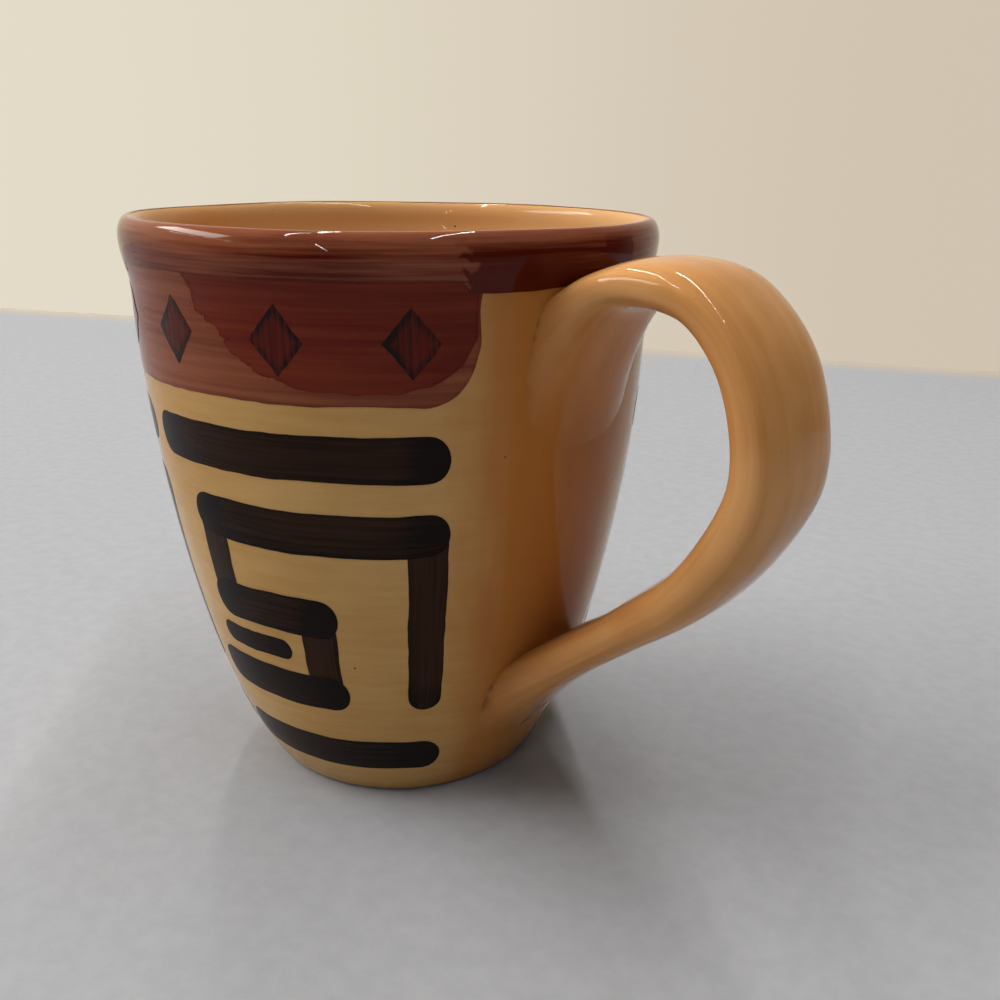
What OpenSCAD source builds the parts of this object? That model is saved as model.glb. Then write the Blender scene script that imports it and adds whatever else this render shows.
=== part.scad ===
// Hand-painted stoneware mug: a thrown cup, a pulled strap handle and brushed slip decoration.
// The axis of the cup is Z, the foot stands on Z = 0 and the handle points along +X.
// Azimuths are in degrees from the handle, seen from above and positive towards +Y.

/* [Cup] */
// Height of the cup from the table to the crest of the lip
cup_h = 108; // [101:1:118]
// Diameter across the foot at the table
foot_d = 56; // [50:1:62]
// Diameter of the neck, under the turned-out lip
neck_d = 96; // [90:1:102]
// Height of the turned-out lip above the neck
lip_h = 13; // [10:1:16]
// How far the lip turns out beyond the neck
lip_flare = 1.4; // [0.6:0.1:2.4]
// Thickness of the lip
lip_t = 3.6; // [3:0.1:4.6]
// Height of the rounded top of the lip
lip_roll_h = 3.6; // [2.4:0.1:5]
// Thickness of the wall at the neck
wall_t = 4; // [3.2:0.1:5]
// Thickness of the floor above the foot recess
floor_t = 6; // [4:0.5:9]
// Radius of the hollow between the floor and the wall
floor_corner_r = 14; // [8:1:20]
// Width of the foot ring
foot_ring_w = 4.5; // [3.5:0.5:7]
// Depth of the recess inside the foot ring
foot_recess = 1.5; // [0.8:0.1:2.5]
// Softening of the outer edge of the foot
foot_round = 0.8; // [0.4:0.1:1.2]

/* [Handle] */
// How far the strap's outer face stands out beyond the neck of the cup
handle_stand = 39.2; // [33:0.1:47]
// Width of the strap
strap_w = 22; // [18:0.5:26]
// Thickness of the strap at the knuckle
strap_t = 9.6; // [8:0.1:11]
// Drop from the crest of the lip to the place where the middle of the strap leaves the wall
upper_root_drop = 14; // [13.5:0.5:20]
// Height at which the middle of the strap comes back to the wall, as a share of the cup's height
lower_root_share = 0.25; // [0.23:0.01:0.29]
// Width to which the clay is spread down the wall at the upper root
upper_spread_w = 34; // [26:1:40]
// How far that clay runs down the wall below the strap
upper_spread_h = 25; // [16:1:28]
// Width to which the clay is spread down the wall at the lower root
lower_spread_w = 29; // [26:1:36]
// How far that clay runs down the wall below the strap
lower_spread_h = 11.5; // [8:0.5:13]

/* [Painted bands] */
// Thickness of one coat of slip
slip_t = 0.25; // [0.15:0.05:0.4]
// Height of the dark line under the crest of the lip
rim_line_h = 7.2; // [5.5:0.1:7.6]
// Height of the brushed band under the dark line
band_h = 19; // [14:0.5:22]
// Azimuth where the brushed band stops on the near side of the handle
band_near_end = 27; // [24:1:34]
// Azimuth where the brushed band stops on the far side of the handle
band_far_end = 34; // [24:1:40]
// Radius of the lower corners of the band
band_corner_r = 9; // [4:0.5:11]
// Number of lozenges round the band
lozenges = 12; // [6:1:14]
// Height of a lozenge
lozenge_h = 11; // [7:0.5:12]
// Width of a lozenge
lozenge_w = 9; // [6:0.5:11]

/* [Painted hooks] */
// Width of the level strokes, as a share of the height from the table to the brushed band
bar_share = 0.095; // [0.065:0.005:0.1]
// Width of the upright strokes
riser_w = 6.4; // [4:0.1:7]
// Number of square hooks round the cup
hooks = 4; // [3:1:5]
// Bare azimuth between the handle and the first hook on its near side
hooks_near_end = 37; // [34:1:46]
// Bare azimuth between the handle and the last hook on its far side
hooks_far_end = 31; // [30:1:44]
// Bare clay between the brushed band and the top bars, as a share of the same height
top_gap_share = 0.06; // [0.04:0.002:0.072]
// Bare clay between the top bars and the hooks, as a share of the same height
hook_top_gap_share = 0.064; // [0.04:0.002:0.072]
// Bare clay between the hooks and the foot bars, as a share of the same height
hook_low_gap_share = 0.094; // [0.05:0.002:0.108]
// Height of the lower edge of the foot bars above the table, as a share of the same height
foot_bar_share = 0.093; // [0.051:0.002:0.103]

/* [Hidden] */
$fn = 96;
// Degrees in a radian
rad = 180 / PI;

// Cup: radii and heights that follow from the sizes above
foot_r = foot_d / 2;
neck_r = neck_d / 2;
lip_r = neck_r + lip_flare;
neck_z = cup_h - lip_h;
lip_side_z = cup_h - lip_roll_h;
crest_r = lip_r - lip_t / 2;
lip_in_r = lip_r - lip_t;
floor_z = foot_recess + floor_t;
hollow_z = floor_z + floor_corner_r;
foot_in_r = foot_r - foot_ring_w;
upper_root_z = cup_h - upper_root_drop;
lower_root_z = lower_root_share * cup_h;
handle_reach = neck_r + handle_stand;

// Belly: where the curve of the wall is pulled to, as shares of the neck's overhang and height
belly_low_share = [0.6, 0.183];
belly_high_share = [0.98, 0.652];
// How much thicker the wall is at the foot than at the neck
foot_thicker_share = 0.6;
wall_steps = 30;
foot_edge_steps = 4;
lip_steps = 8;
roll_step_angle = 15;
rim_line_end_angle = 105;
hollow_steps = 10;
inner_steps = 18;

// Strap: middle line and section from the upper root round to the lower one. Each row gives the
// reach from the wall to the knuckle, the height between the roots, the width and the thickness
strap_share = [
    [-0.115, 0.975, 1.02, 0.70],
    [0.114, 1.064, 1.00, 0.74],
    [0.374, 1.099, 1.00, 0.79],
    [0.681, 1.067, 1.00, 0.85],
    [0.907, 0.940, 1.00, 0.93],
    [1.00, 0.754, 1.00, 1.00],
    [0.948, 0.603, 1.00, 1.02],
    [0.728, 0.406, 1.00, 0.93],
    [0.432, 0.242, 0.98, 0.83],
    [0.187, 0.106, 0.98, 0.85],
    [0.00, -0.022, 1.00, 0.90],
    [-0.092, -0.12, 1.00, 0.95]];
spans = len(strap_share) - 1;
span_steps = 4;
strap_steps = spans * span_steps;
ring_sides = 28;
// Part of a station on each side over which the direction of the strap is taken
way_step = 0.5;
// Power that flattens the faces of the strap's oval section
oval_power = 0.8;

// Roots: stations, along the strap, where the smoothed clay begins and where it meets the wall
upper_clay_from = 6;
upper_clay_to = 2;
lower_clay_from = 34;
lower_clay_to = 40;
// Extra rings between the last station before the wall and the wall
clay_last_steps = 4;
// How far the spread clay reaches above the strap's end, as shares of the strap's thickness
upper_rise_share = 0.2;
lower_rise_share = 0.45;
// How deep the edge of the spread clay and the end of its blank lie in the wall that trims them
clay_sink = 0.3 * wall_t;
clay_bite = 0.75 * wall_t;

// Bands: heights and azimuths
rim_line_z = cup_h - rim_line_h;
band_z = rim_line_z - band_h;
bare_mid = (band_far_end - band_near_end) / 2;
bare_half = (band_far_end + band_near_end) / 2;
lozenge_share = 0.52;
lozenge_z = band_z + lozenge_share * band_h;
lozenge_turn = (360 - 2 * bare_half) / lozenges;
first_lozenge = -band_near_end - lozenge_turn / 2;

// Wash: outline of one patch of the second coat, as shares of its turn and of the band's height
wash_share = [[0.00, 1.00], [0.00, 0.55], [0.05, 0.32], [0.16, 0.17], [0.34, 0.10], [0.56, 0.14],
    [0.72, 0.24], [0.82, 0.38], [0.90, 0.60], [0.97, 0.72], [1.00, 1.00]];
wash_turn = 56;
wash_patches = 3;
wash_gap_share = 0.66;

// Hooks: a grid round the cup, with six steps from a hook to the next. The strokes begin and end
// on the steps given here, counted from the hook's own first upright
hooks_turn = 360 - hooks_near_end - hooks_far_end;
hook_steps = 6;
hook_step = hooks_turn / (hooks * hook_steps - 1);
hook_inner_step = 2;
hook_outer_step = 4;
hook_tail_step = 4.6;
top_bar_steps = [0, 4.8];
foot_bar_steps = [0.1, 4.6];
dash_steps = [2.9, 4.3];
end_angle_step = 30;
corner_angle_step = 15;

// Heights of the middle lines of the level strokes, and the width of a dash in its bay
bar_w = bar_share * band_z;
top_bar_z = band_z - top_gap_share * band_z - bar_w / 2;
hook_top_z = top_bar_z - bar_w - hook_top_gap_share * band_z;
foot_bar_z = foot_bar_share * band_z + bar_w / 2;
hook_low_z = foot_bar_z + bar_w + hook_low_gap_share * band_z;
hook_mid_z = (hook_top_z + hook_low_z) / 2;
dash_z = (hook_mid_z + hook_low_z) / 2;
dash_share = 0.5;
dash_w = dash_share * (hook_mid_z - hook_low_z - bar_w);

function bezier(p, t) = pow(1 - t, 3) * p[0] + 3 * pow(1 - t, 2) * t * p[1]
    + 3 * (1 - t) * t * t * p[2] + pow(t, 3) * p[3];
function bezier_points(p, steps) = [for (i = [0:steps]) bezier(p, i / steps)];
function reversed(list) = [for (i = [len(list) - 1:-1:0]) list[i]];

// Outer face of the wall from the foot to the neck, and of the lip up to its widest ring
wall_points = bezier_points([[foot_r, 0],
    [foot_r + belly_low_share[0] * (neck_r - foot_r), belly_low_share[1] * neck_z],
    [foot_r + belly_high_share[0] * (neck_r - foot_r), belly_high_share[1] * neck_z],
    [neck_r, neck_z]], wall_steps);
lip_pull = (lip_side_z - neck_z) / 3;
lip_out_points = bezier_points([[neck_r, neck_z], [neck_r, neck_z + lip_pull],
    [lip_r, lip_side_z - lip_pull], [lip_r, lip_side_z]], lip_steps);
outer_points = concat(wall_points, [for (i = [1:lip_steps]) lip_out_points[i]]);
outer_table = [for (p = outer_points) [p[1], p[0]]];
function outer_r(z) = lookup(z, outer_table);

// Rounded top of the lip, from its widest ring over the crest to its inner face
roll_points = [for (a = [roll_step_angle:roll_step_angle:180])
    [crest_r + lip_t / 2 * cos(a), lip_side_z + lip_roll_h * sin(a)]];

// Inner face, from the lip down to the hollow above the floor
inner_neck_r = neck_r - wall_t;
lip_in_points = bezier_points([[lip_in_r, lip_side_z], [lip_in_r, lip_side_z - lip_pull],
    [inner_neck_r, neck_z + lip_pull], [inner_neck_r, neck_z]], lip_steps);
function wall_at(z) = wall_t * (1 + foot_thicker_share * pow(1 - z / neck_z, 2));
function inner_r(z) = outer_r(z) - wall_at(z);
inner_points = [for (i = [1:inner_steps])
    let (z = neck_z + (hollow_z - neck_z) * i / inner_steps) [inner_r(z), z]];
hollow_r = inner_r(floor_z);
hollow_points = [for (i = [1:hollow_steps]) let (t = i / hollow_steps)
    pow(1 - t, 2) * [inner_r(hollow_z), hollow_z] + 2 * t * (1 - t) * [hollow_r, floor_z]
    + t * t * [hollow_r - floor_corner_r, floor_z]];

// Softened outer edge of the foot, and the wall above it
foot_edge_points = [for (i = [0:foot_edge_steps]) let (t = i / foot_edge_steps)
    pow(1 - t, 2) * [foot_r - foot_round, 0] + 2 * t * (1 - t) * [foot_r, 0]
    + t * t * [outer_r(foot_round), foot_round]];
upper_outer_points = [for (p = outer_points) if (p[1] > foot_round) p];

module cup_profile() {
    polygon(concat([[0, foot_recess], [foot_in_r - foot_recess, foot_recess], [foot_in_r, 0]],
        foot_edge_points, upper_outer_points, roll_points,
        [for (i = [1:lip_steps]) lip_in_points[i]], inner_points, hollow_points,
        [[0, floor_z]]));
}

// Everything inside the outer face of the cup, which trims what is stuck onto the wall
module cup_blank() {
    rotate_extrude()
        polygon(concat([[0, 0]], outer_points, [[0, lip_side_z]]));
}

module body() {
    color("#c99a5b")
        rotate_extrude()
            cup_profile();
}

// Middle line of the strap: reach, height, width and thickness at station s
function spline(p, i, t) = let (a = p[max(i - 1, 0)], b = p[i], c = p[min(i + 1, spans)],
    d = p[min(i + 2, spans)])
    b + t / 2 * (c - a) + t * t / 2 * (2 * a - 5 * b + 4 * c - d)
    + pow(t, 3) / 2 * (3 * b - a - 3 * c + d);
function shares_at(s) = let (i = min(floor(s / span_steps), spans - 1))
    spline(strap_share, i, s / span_steps - i);
knuckle_r = handle_reach - strap_t / 2;
function strap_mid(s) = let (p = shares_at(s),
    z = lower_root_z + p[1] * (upper_root_z - lower_root_z))
    [outer_r(z) + p[0] * (knuckle_r - outer_r(z)), z];
function strap_way(s) = let (a = strap_mid(max(s - way_step, 0)),
    b = strap_mid(min(s + way_step, strap_steps)))
    (b - a) / norm(b - a);
function flattened(v, power) = sign(v) * pow(abs(v), power);

// Ring of points round the strap at station s: across the strap is Y, its outer face comes first
function strap_ring(s) = let (m = strap_mid(s), w = strap_way(s), p = shares_at(s))
    [for (k = [0:ring_sides - 1]) let (a = 360 * k / ring_sides,
        q = p[2] * strap_w / 2 * flattened(cos(a), oval_power),
        n = p[3] * strap_t / 2 * flattened(sin(a), oval_power))
        [m[0] - n * w[1], q, m[1] + n * w[0]]];
// Ring on the strap's own flat facets, between two of its stations
function ring_between(from, way, s) = let (i = floor(s), a = strap_ring(from + way * i),
    b = strap_ring(from + way * (i + 1)))
    [for (k = [0:ring_sides - 1]) a[k] + (s - i) * (b[k] - a[k])];
function on_wall(q, z, sunk) = [sqrt(pow(outer_r(z) - sunk, 2) - q * q), q, z];

// Edge of the clay that is spread over the wall round a root. It follows the end of the strap,
// stands above it by rise, and grows wider and lower towards its foot
function spread_ring(s, side, wide, rise, low, sunk) = let (ring = strap_ring(s))
    [for (k = [0:ring_sides - 1]) let (
        down = (1 - side * flattened(sin(360 * k / ring_sides), oval_power)) / 2)
        on_wall(ring[k][1] * (1 + (wide / strap_w - 1) * down),
            ring[k][2] + rise * (1 - down) - low * down * down, sunk)];

// Skin between rings of points, all of one length, which either closes on itself or has two ends
function skin_faces(rings, sides, closed) = [for (i = [0:rings - (closed ? 1 : 2)])
    for (k = [0:sides - 1]) let (j = (i + 1) % rings, m = (k + 1) % sides)
        each [[i * sides + k, j * sides + m, i * sides + m],
            [i * sides + k, j * sides + k, j * sides + m]]];
function flat(list) = [for (row = list) each row];

module ring_tube(rings) {
    sides = len(rings[0]);
    last = (len(rings) - 1) * sides;
    ends = [[for (k = [0:sides - 1]) k], [for (k = [sides - 1:-1:0]) last + k]];
    polyhedron(flat(rings), concat(skin_faces(len(rings), sides, false), ends));
}

module ring_collar(rings) {
    polyhedron(flat(rings), skin_faces(len(rings), len(rings[0]), true));
}

module handle() {
    color("#d2924f")
        difference() {
            ring_tube([for (s = [0:strap_steps]) strap_ring(s)]);
            cup_blank();
        }
}

// Clay smoothed from the strap onto the wall: it swells from nothing at station from and lies
// along the wall at station to, and its inner face is the strap's own skin
module root_clay(from, to, end, side, wide, rise, low) {
    edge = spread_ring(to, side, wide, rise, low, clay_sink);
    bite = spread_ring(to, side, wide, rise, low, clay_bite);
    own = strap_ring(to);
    step = end > from ? -1 : 1;
    stations = abs(to - from);
    last_turn = asin((stations - 1) / stations);
    turns = concat([for (i = [1:stations - 1]) asin(i / stations)],
        [for (i = [1:clay_last_steps]) last_turn + (90 - last_turn) * i / clay_last_steps]);
    swell = [for (turn = turns) let (ring = ring_between(from, -step, sin(turn) * stations))
        [for (k = [0:ring_sides - 1]) ring[k] + (1 - cos(turn)) * (edge[k] - own[k])]];
    rings = concat(swell, [bite], [for (s = [end:step:from]) strap_ring(s)]);
    difference() {
        ring_collar(step > 0 ? reversed(rings) : rings);
        cup_blank();
    }
}

module upper_root_clay() {
    color("#cc8c4a")
        root_clay(upper_clay_from, upper_clay_to, 0, 1, upper_spread_w,
            upper_rise_share * strap_t, upper_spread_h);
}

module lower_root_clay() {
    color("#cc8c4a")
        root_clay(lower_clay_from, lower_clay_to, strap_steps, -1, lower_spread_w,
            lower_rise_share * strap_t, lower_spread_h);
}

// One coat of slip on the wall between two heights; coat 0 lies on the clay, coat 1 on coat 0
module coat(low, high, level) {
    face = concat([[outer_r(low), low]],
        [for (p = outer_points) if (p[1] > low && p[1] < high) p], [[outer_r(high), high]]);
    inner = [for (p = face) [p[0] + level * slip_t, p[1]]];
    outer = [for (p = face) [p[0] + (level + 1) * slip_t, p[1]]];
    rotate_extrude()
        polygon(concat(inner, reversed(outer)));
}

// Place on the wall as seen square on from azimuth mid: side is a distance along the wall
function seen(mid, az, z, side) = [outer_r(z) * sin(az - mid + rad * side / outer_r(z)), z];

// Blank that cuts a flat outline, seen from azimuth mid, out of a coat
module stamp(mid) {
    rotate([0, 0, mid])
        rotate([90, 0, 90])
            linear_extrude(height = lip_r + wall_t)
                children();
}

// Brush stroke with round ends between two places on the wall, level or upright
module stroke(mid, az_a, z_a, az_b, z_b, wide) {
    level = z_a == z_b;
    turn = level ? 0 : 90;
    end_b = [for (a = [-90:end_angle_step:90])
        seen(mid, az_b, z_b + wide / 2 * sin(a + turn), wide / 2 * cos(a + turn))];
    end_a = [for (a = [90:end_angle_step:270])
        seen(mid, az_a, z_a + wide / 2 * sin(a + turn), wide / 2 * cos(a + turn))];
    polygon(concat(end_b, end_a));
}

// The slip runs off the clay just past the crest of the lip
module rim_line() {
    face = concat([[outer_r(rim_line_z), rim_line_z]],
        [for (p = outer_points) if (p[1] > rim_line_z) p],
        [for (i = [1:rim_line_end_angle / roll_step_angle]) roll_points[i - 1]]);
    count = len(face);
    outer = [for (i = [0:count - 1]) let (way = face[min(i + 1, count - 1)] - face[max(i - 1, 0)],
        out = i == 0 ? [1, 0] : [way[1], -way[0]] / norm(way)) face[i] + slip_t * out];
    color("#4a1a10")
        rotate_extrude()
            polygon(concat(face, reversed(outer)));
}

// Outline of the bare wall at the handle: upright sides that part in round corners at the foot,
// where they run on straight, past the lower edge of the band
module bare_window() {
    run_on = [(1 - cos(corner_angle_step)) * band_corner_r + slip_t, -slip_t];
    corner = concat([[band_corner_r * (1 - sin(corner_angle_step))
            + run_on[0] / tan(corner_angle_step), run_on[1]]],
        [for (a = [corner_angle_step:corner_angle_step:90])
            [band_corner_r * (1 - sin(a)), band_corner_r * (1 - cos(a))]],
        [[0, band_h + slip_t]]);
    far = [for (c = corner) seen(bare_mid, bare_mid + bare_half, band_z + c[1], c[0])];
    near = [for (c = reversed(corner))
        seen(bare_mid, bare_mid - bare_half, band_z + c[1], -c[0])];
    polygon(concat(far, near));
}

module side_band() {
    color("#8a3a1c")
        difference() {
            coat(band_z, rim_line_z, 0);
            stamp(bare_mid)
                bare_window();
        }
}

module lozenge_blanks() {
    for (i = [0:lozenges - 1]) {
        az = first_lozenge - i * lozenge_turn;
        stamp(az)
            polygon([seen(az, az, lozenge_z - lozenge_h / 2, 0),
                seen(az, az, lozenge_z, lozenge_w / 2),
                seen(az, az, lozenge_z + lozenge_h / 2, 0),
                seen(az, az, lozenge_z, -lozenge_w / 2)]);
    }
}

module band_lozenges() {
    color("#2e130c")
        intersection() {
            coat(band_z, rim_line_z, 1);
            lozenge_blanks();
        }
}

module band_wash() {
    gap = (360 - 2 * bare_half - wash_patches * wash_turn) / (wash_patches - 1) * wash_gap_share;
    color("#5a1d14")
        for (i = [0:wash_patches - 1]) {
            start = -band_near_end - i * (wash_turn + gap) - rad * slip_t / neck_r;
            mid = start - wash_turn / 2;
            difference() {
                intersection() {
                    coat(band_z, rim_line_z, 1);
                    stamp(mid)
                        polygon([for (p = wash_share)
                            seen(mid, start - p[0] * wash_turn, band_z + p[1] * band_h, 0)]);
                }
                lozenge_blanks();
            }
        }
}

function grid_azimuth(hook, step) = -hooks_near_end - (hook * hook_steps + step) * hook_step;

module square_hooks() {
    color("#2b1a12")
        for (i = [0:hooks - 1]) {
            a = grid_azimuth(i, 0);
            b = grid_azimuth(i, hook_inner_step);
            c = grid_azimuth(i, hook_outer_step);
            d = grid_azimuth(i, hook_tail_step);
            mid = (a + d) / 2;
            intersection() {
                coat(hook_low_z - bar_w, hook_top_z + bar_w, 0);
                stamp(mid)
                    union() {
                        stroke(mid, a, hook_low_z, a, hook_top_z, riser_w);
                        stroke(mid, c, hook_top_z, a, hook_top_z, bar_w);
                        stroke(mid, c, hook_mid_z, c, hook_top_z, riser_w);
                        stroke(mid, c, hook_mid_z, b, hook_mid_z, bar_w);
                        stroke(mid, b, hook_low_z, b, hook_mid_z, riser_w);
                        stroke(mid, d, hook_low_z, b, hook_low_z, bar_w);
                    }
            }
        }
}

module painted_bars(z, wide, steps) {
    for (i = [0:hooks - 1]) {
        a = grid_azimuth(i, steps[0]);
        b = grid_azimuth(i, steps[1]);
        mid = (a + b) / 2;
        intersection() {
            coat(z - wide, z + wide, 0);
            stamp(mid)
                stroke(mid, b, z, a, z, wide);
        }
    }
}

module long_bars() {
    color("#2b1a12") {
        painted_bars(top_bar_z, bar_w, top_bar_steps);
        painted_bars(foot_bar_z, bar_w, foot_bar_steps);
    }
}

module short_dashes() {
    color("#2b1a12")
        painted_bars(dash_z, dash_w, dash_steps);
}

body();
handle();
upper_root_clay();
lower_root_clay();
rim_line();
side_band();
band_wash();
band_lozenges();
square_hooks();
long_bars();
short_dashes();
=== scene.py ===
import math

import bmesh
import bpy
from bpy.props import FloatProperty, FloatVectorProperty, IntProperty, PointerProperty
from mathutils import Matrix, Vector, noise


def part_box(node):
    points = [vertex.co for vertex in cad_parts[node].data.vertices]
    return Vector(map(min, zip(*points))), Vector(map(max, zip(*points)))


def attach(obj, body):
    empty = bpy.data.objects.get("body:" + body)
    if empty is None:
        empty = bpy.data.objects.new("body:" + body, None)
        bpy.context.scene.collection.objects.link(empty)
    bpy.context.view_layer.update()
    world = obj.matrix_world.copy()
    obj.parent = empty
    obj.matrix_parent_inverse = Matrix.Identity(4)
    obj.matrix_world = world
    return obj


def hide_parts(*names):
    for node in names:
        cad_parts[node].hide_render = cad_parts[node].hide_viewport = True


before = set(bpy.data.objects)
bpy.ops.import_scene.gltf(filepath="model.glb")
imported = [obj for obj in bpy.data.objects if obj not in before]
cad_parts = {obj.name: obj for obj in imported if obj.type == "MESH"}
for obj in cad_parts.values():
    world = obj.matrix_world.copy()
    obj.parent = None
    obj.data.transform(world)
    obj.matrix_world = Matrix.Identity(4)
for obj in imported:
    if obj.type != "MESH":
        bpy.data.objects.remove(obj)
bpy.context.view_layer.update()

bl_info = {
    "name": "Painted Stoneware Mug",
    "version": (1, 0, 0),
    "blender": (4, 5, 0),
    "location": "View3D > Sidebar > Mug",
    "description": "Builds a thrown mug with a pulled strap handle and brushed slip decoration",
    "category": "Add Mesh",
}

MM = 0.001
CUP_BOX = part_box("body")
HANDLE_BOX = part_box("handle")
RIM_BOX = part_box("rim_line")
BAND_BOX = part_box("side_band")

# Curve of the wall, as shares of the neck's overhang and height, and how much thicker its foot is
BELLY_LOW = (0.6, 0.183)
BELLY_HIGH = (0.98, 0.652)
FOOT_THICKER = 0.6
# Middle line and section of the strap: reach, height, width and thickness, as in the CAD
STRAP_ROWS = (
    (-0.115, 0.975, 1.02, 0.70),
    (0.114, 1.064, 1.00, 0.74),
    (0.374, 1.099, 1.00, 0.79),
    (0.681, 1.067, 1.00, 0.85),
    (0.907, 0.940, 1.00, 0.93),
    (1.00, 0.754, 1.00, 1.00),
    (0.948, 0.603, 1.00, 1.02),
    (0.728, 0.406, 1.00, 0.93),
    (0.432, 0.242, 0.98, 0.83),
    (0.187, 0.106, 0.98, 0.85),
    (0.00, -0.022, 1.00, 0.90),
    (-0.092, -0.12, 1.00, 0.95),
)
SPAN_STEPS = 4
STRAP_END = (len(STRAP_ROWS) - 1) * SPAN_STEPS
# Stations where the smoothed clay leaves the strap and where it meets the wall
UPPER_CLAY = (6, 2)
LOWER_CLAY = (34, 40)
# How deep the smoothed clay's edge and its hidden end lie in the wall, as shares of the wall
CLAY_SUNK = 0.1
CLAY_BITE = 0.75
# Lower outline of one patch of wash, as shares of its turn and of the band's height
WASH_LOW = ((0.00, 0.55), (0.05, 0.32), (0.16, 0.17), (0.34, 0.10), (0.56, 0.14), (0.72, 0.24),
            (0.82, 0.38), (0.90, 0.60), (0.97, 0.72), (1.00, 0.98))
# How far the wall's glaze is painted with the strap's amber round the handle, as painted reflection
# and shade of the handle, from which turn to which, in radians from the handle, and how far all
# that lies towards the near side
HANDLE_REFLECTION_ON_WALL = 0.9
HANDLE_REFLECTION_TURNS = (0.55, 0.27)
HANDLE_REFLECTION_SHIFT = 0.09
# Lengths along the strap between which its glaze is painted darker, as painted shade low down
LOWER_STRAP_SHADE = (85 * MM, 125 * MM)
# Bend from which the edge of a sheet of slip stays sharp
CRISP = math.radians(60)


def length(name, description, default):
    return FloatProperty(name=name, description=description, default=default, unit="LENGTH",
                         subtype="DISTANCE", precision=5)


def angle(name, description, degrees):
    return FloatProperty(name=name, description=description, default=math.radians(degrees),
                         subtype="ANGLE")


def share(name, description, default):
    return FloatProperty(name=name, description=description, default=default, subtype="FACTOR",
                         min=0, max=1)


def colour(name, description, default):
    return FloatVectorProperty(name=name, description=description, default=default, size=3,
                               subtype="COLOR", min=0, max=1)


def power(name, description, default):
    return FloatProperty(name=name, description=description, default=default, unit="POWER")


class CupSizes(bpy.types.PropertyGroup):
    height: length("Height", "Height to the crest of the lip", CUP_BOX[1].z)
    foot_radius: length("Foot radius", "Radius of the foot at the table", 28 * MM)
    neck_radius: length("Neck radius", "Radius under the turned-out lip", 48 * MM)
    lip_height: length("Lip height", "Height of the turned-out lip", 13 * MM)
    lip_radius: length("Lip radius", "Largest radius of the lip", CUP_BOX[1].y)
    lip_thickness: length("Lip thickness", "Thickness of the lip", 3.6 * MM)
    lip_roll: length("Lip roll", "Height of the rounded top of the lip", 3.6 * MM)
    wall: length("Wall", "Thickness of the wall at the neck", 4 * MM)
    floor: length("Floor", "Height of the inside floor above the table", 7.5 * MM)
    hollow_corner: length("Hollow corner", "Radius between the floor and the wall", 14 * MM)
    foot_ring: length("Foot ring", "Width of the foot ring", 4.5 * MM)
    foot_recess: length("Foot recess", "Depth of the recess in the foot", 1.5 * MM)
    foot_round: length("Foot round", "Softening of the foot's outer edge", 0.8 * MM)
    sway: length("Sway", "How far the thrown wall strays from round", 0.16 * MM)
    finger_lines: length("Finger lines", "Height of the throwing lines", 0.035 * MM)
    lip_sway: length("Lip sway", "How far the lip rises and falls", 0.3 * MM)
    turns: IntProperty(name="Turns", description="Steps round the lathe", default=288)


class StrapSizes(bpy.types.PropertyGroup):
    reach: length("Reach", "Reach of the outer face from the axis", HANDLE_BOX[1].x - 0.08 * MM)
    width: length("Width", "Width of the strap", 22 * MM)
    thickness: length("Thickness", "Thickness at the knuckle", 9.6 * MM)
    upper_root: length("Upper root", "Height of the upper root", CUP_BOX[1].z - 14 * MM)
    lower_root: length("Lower root", "Height of the lower root", 27 * MM)
    upper_spread: length("Upper spread", "Width of the clay under the upper root", 34 * MM)
    upper_drop: length("Upper drop", "How far that clay runs down the wall", 25 * MM)
    lower_spread: length("Lower spread", "Width of the clay under the lower root", 29 * MM)
    lower_drop: length("Lower drop", "How far that clay runs down the wall", 11.5 * MM)
    squareness: share("Squareness", "Power of the oval section, lower is squarer", 0.76)
    sway: length("Sway", "How far the pulled clay strays from even", 0.22 * MM)


class PaintSizes(bpy.types.PropertyGroup):
    coat: length("Coat", "How far a coat of slip stands on the clay", 0.05 * MM)
    sway: length("Sway", "How far the brush strays", 0.45 * MM)
    rim_low: length("Rim line", "Height of the rim line's lower edge", RIM_BOX[0].z)
    band_low: length("Band", "Height of the band's lower edge", BAND_BOX[0].z)
    near_end: angle("Near end", "Where the band stops on the near side of the handle", 27)
    far_end: angle("Far end", "Where the band stops on the far side of the handle", 34)
    band_corner: length("Band corner", "Radius of the band's lower corners", 9 * MM)
    wash_turn: angle("Wash turn", "Turn that one patch of wash covers", 56)
    wash_patches: IntProperty(name="Wash patches", description="Patches of wash", default=3)
    lozenges: IntProperty(name="Lozenges", description="Lozenges round the band", default=12)
    lozenge_height: length("Lozenge height", "Height of a lozenge", 11 * MM)
    lozenge_width: length("Lozenge width", "Width of a lozenge", 9 * MM)
    bar: length("Bars", "Width of the level strokes", 7.77 * MM)
    riser: length("Risers", "Width of the upright strokes", 6.4 * MM)
    hooks: IntProperty(name="Hooks", description="Square hooks round the cup", default=4)
    hooks_near: angle("Hooks near", "Bare turn before the first hook", 37)
    hooks_far: angle("Hooks far", "Bare turn after the last hook", 31)
    top_gap: length("Top gap", "Bare clay between the band and the top bars", 4.91 * MM)
    hook_gap: length("Hook gap", "Bare clay between the top bars and the hooks", 5.24 * MM)
    low_gap: length("Low gap", "Bare clay between the hooks and the foot bars", 7.69 * MM)
    foot_gap: length("Foot gap", "Height of the foot bars' lower edge", 7.61 * MM)


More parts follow.
